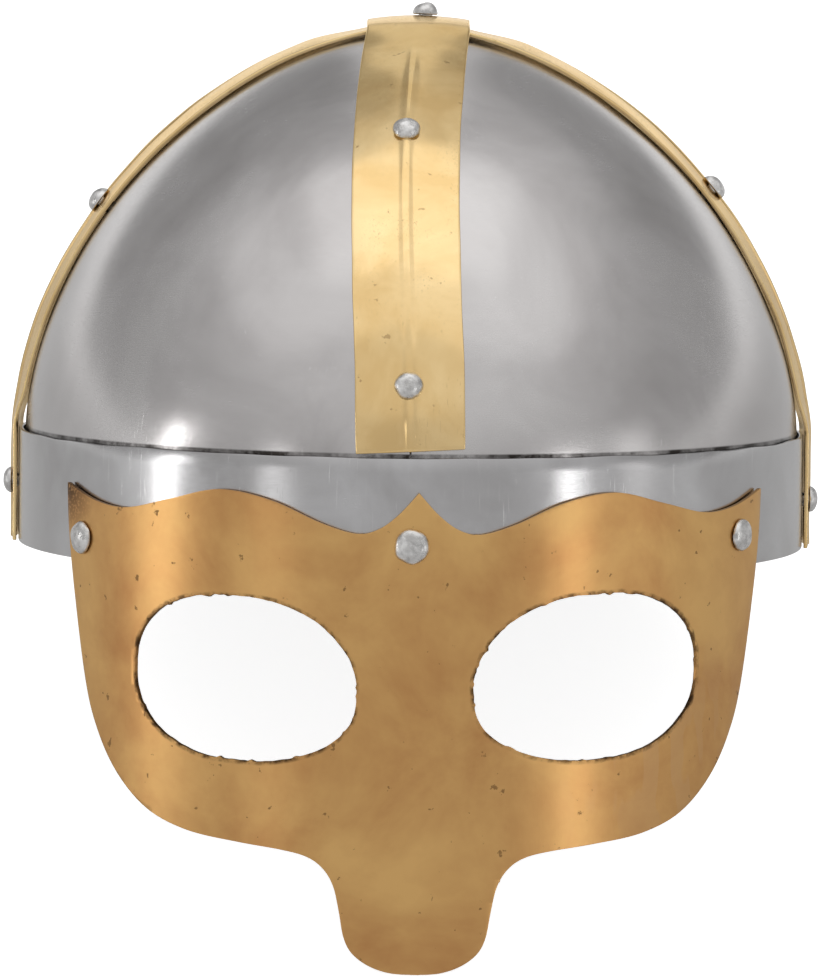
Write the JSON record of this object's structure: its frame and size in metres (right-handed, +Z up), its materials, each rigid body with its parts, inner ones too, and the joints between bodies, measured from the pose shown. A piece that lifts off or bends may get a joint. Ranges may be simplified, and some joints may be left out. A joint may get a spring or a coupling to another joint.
{
  "type": "spangenhelm helmet",
  "caption": "Open-bottomed steel helmet under crossed brass bands, with a brow band and a riveted brass spectacle mask ending in a nose guard.",
  "frame": {"origin": "centre of the footprint on the surface that the helmet rests on, leaned back on its nose guard's tip and the rear end of its crest band", "axes": "+Z up, -Y the way the face looks, +X to the wearer's left, which is the right side as seen from the front and in the pieces' names; the brow band is leaned back about 22 degrees about X"},
  "size_m": [0.215, 0.2738, 0.1792],
  "materials": {
    "dome_steel": "semi-polished dome plates with faint rubbing marks",
    "brow_steel": "satin steel with soft bright streaks",
    "band_brass": "polished pale brass with a crease along the middle",
    "mask_brass": "satin brass, slightly tarnished, with pits and burred eye openings",
    "rivet_steel": "hammered and polished rivet heads"
  },
  "bodies": {
    "root": {"brow_band": "brow_steel", "plate_front_left": "dome_steel", "plate_front_right": "dome_steel", "plate_back_left": "dome_steel", "plate_back_right": "dome_steel", "cross_band": "band_brass", "crest_band": "band_brass", "face_mask": "mask_brass", "rivet_front_upper": "rivet_steel", "rivet_front_lower": "rivet_steel", "rivet_back_upper": "rivet_steel", "rivet_back_lower": "rivet_steel", "rivet_left_upper": "rivet_steel", "rivet_left_lower": "rivet_steel", "rivet_right_upper": "rivet_steel", "rivet_right_lower": "rivet_steel", "rivet_crown": "rivet_steel", "rivet_mask_left": "rivet_steel", "rivet_mask_centre": "rivet_steel", "rivet_mask_right": "rivet_steel"}
  },
  "joints": []
}
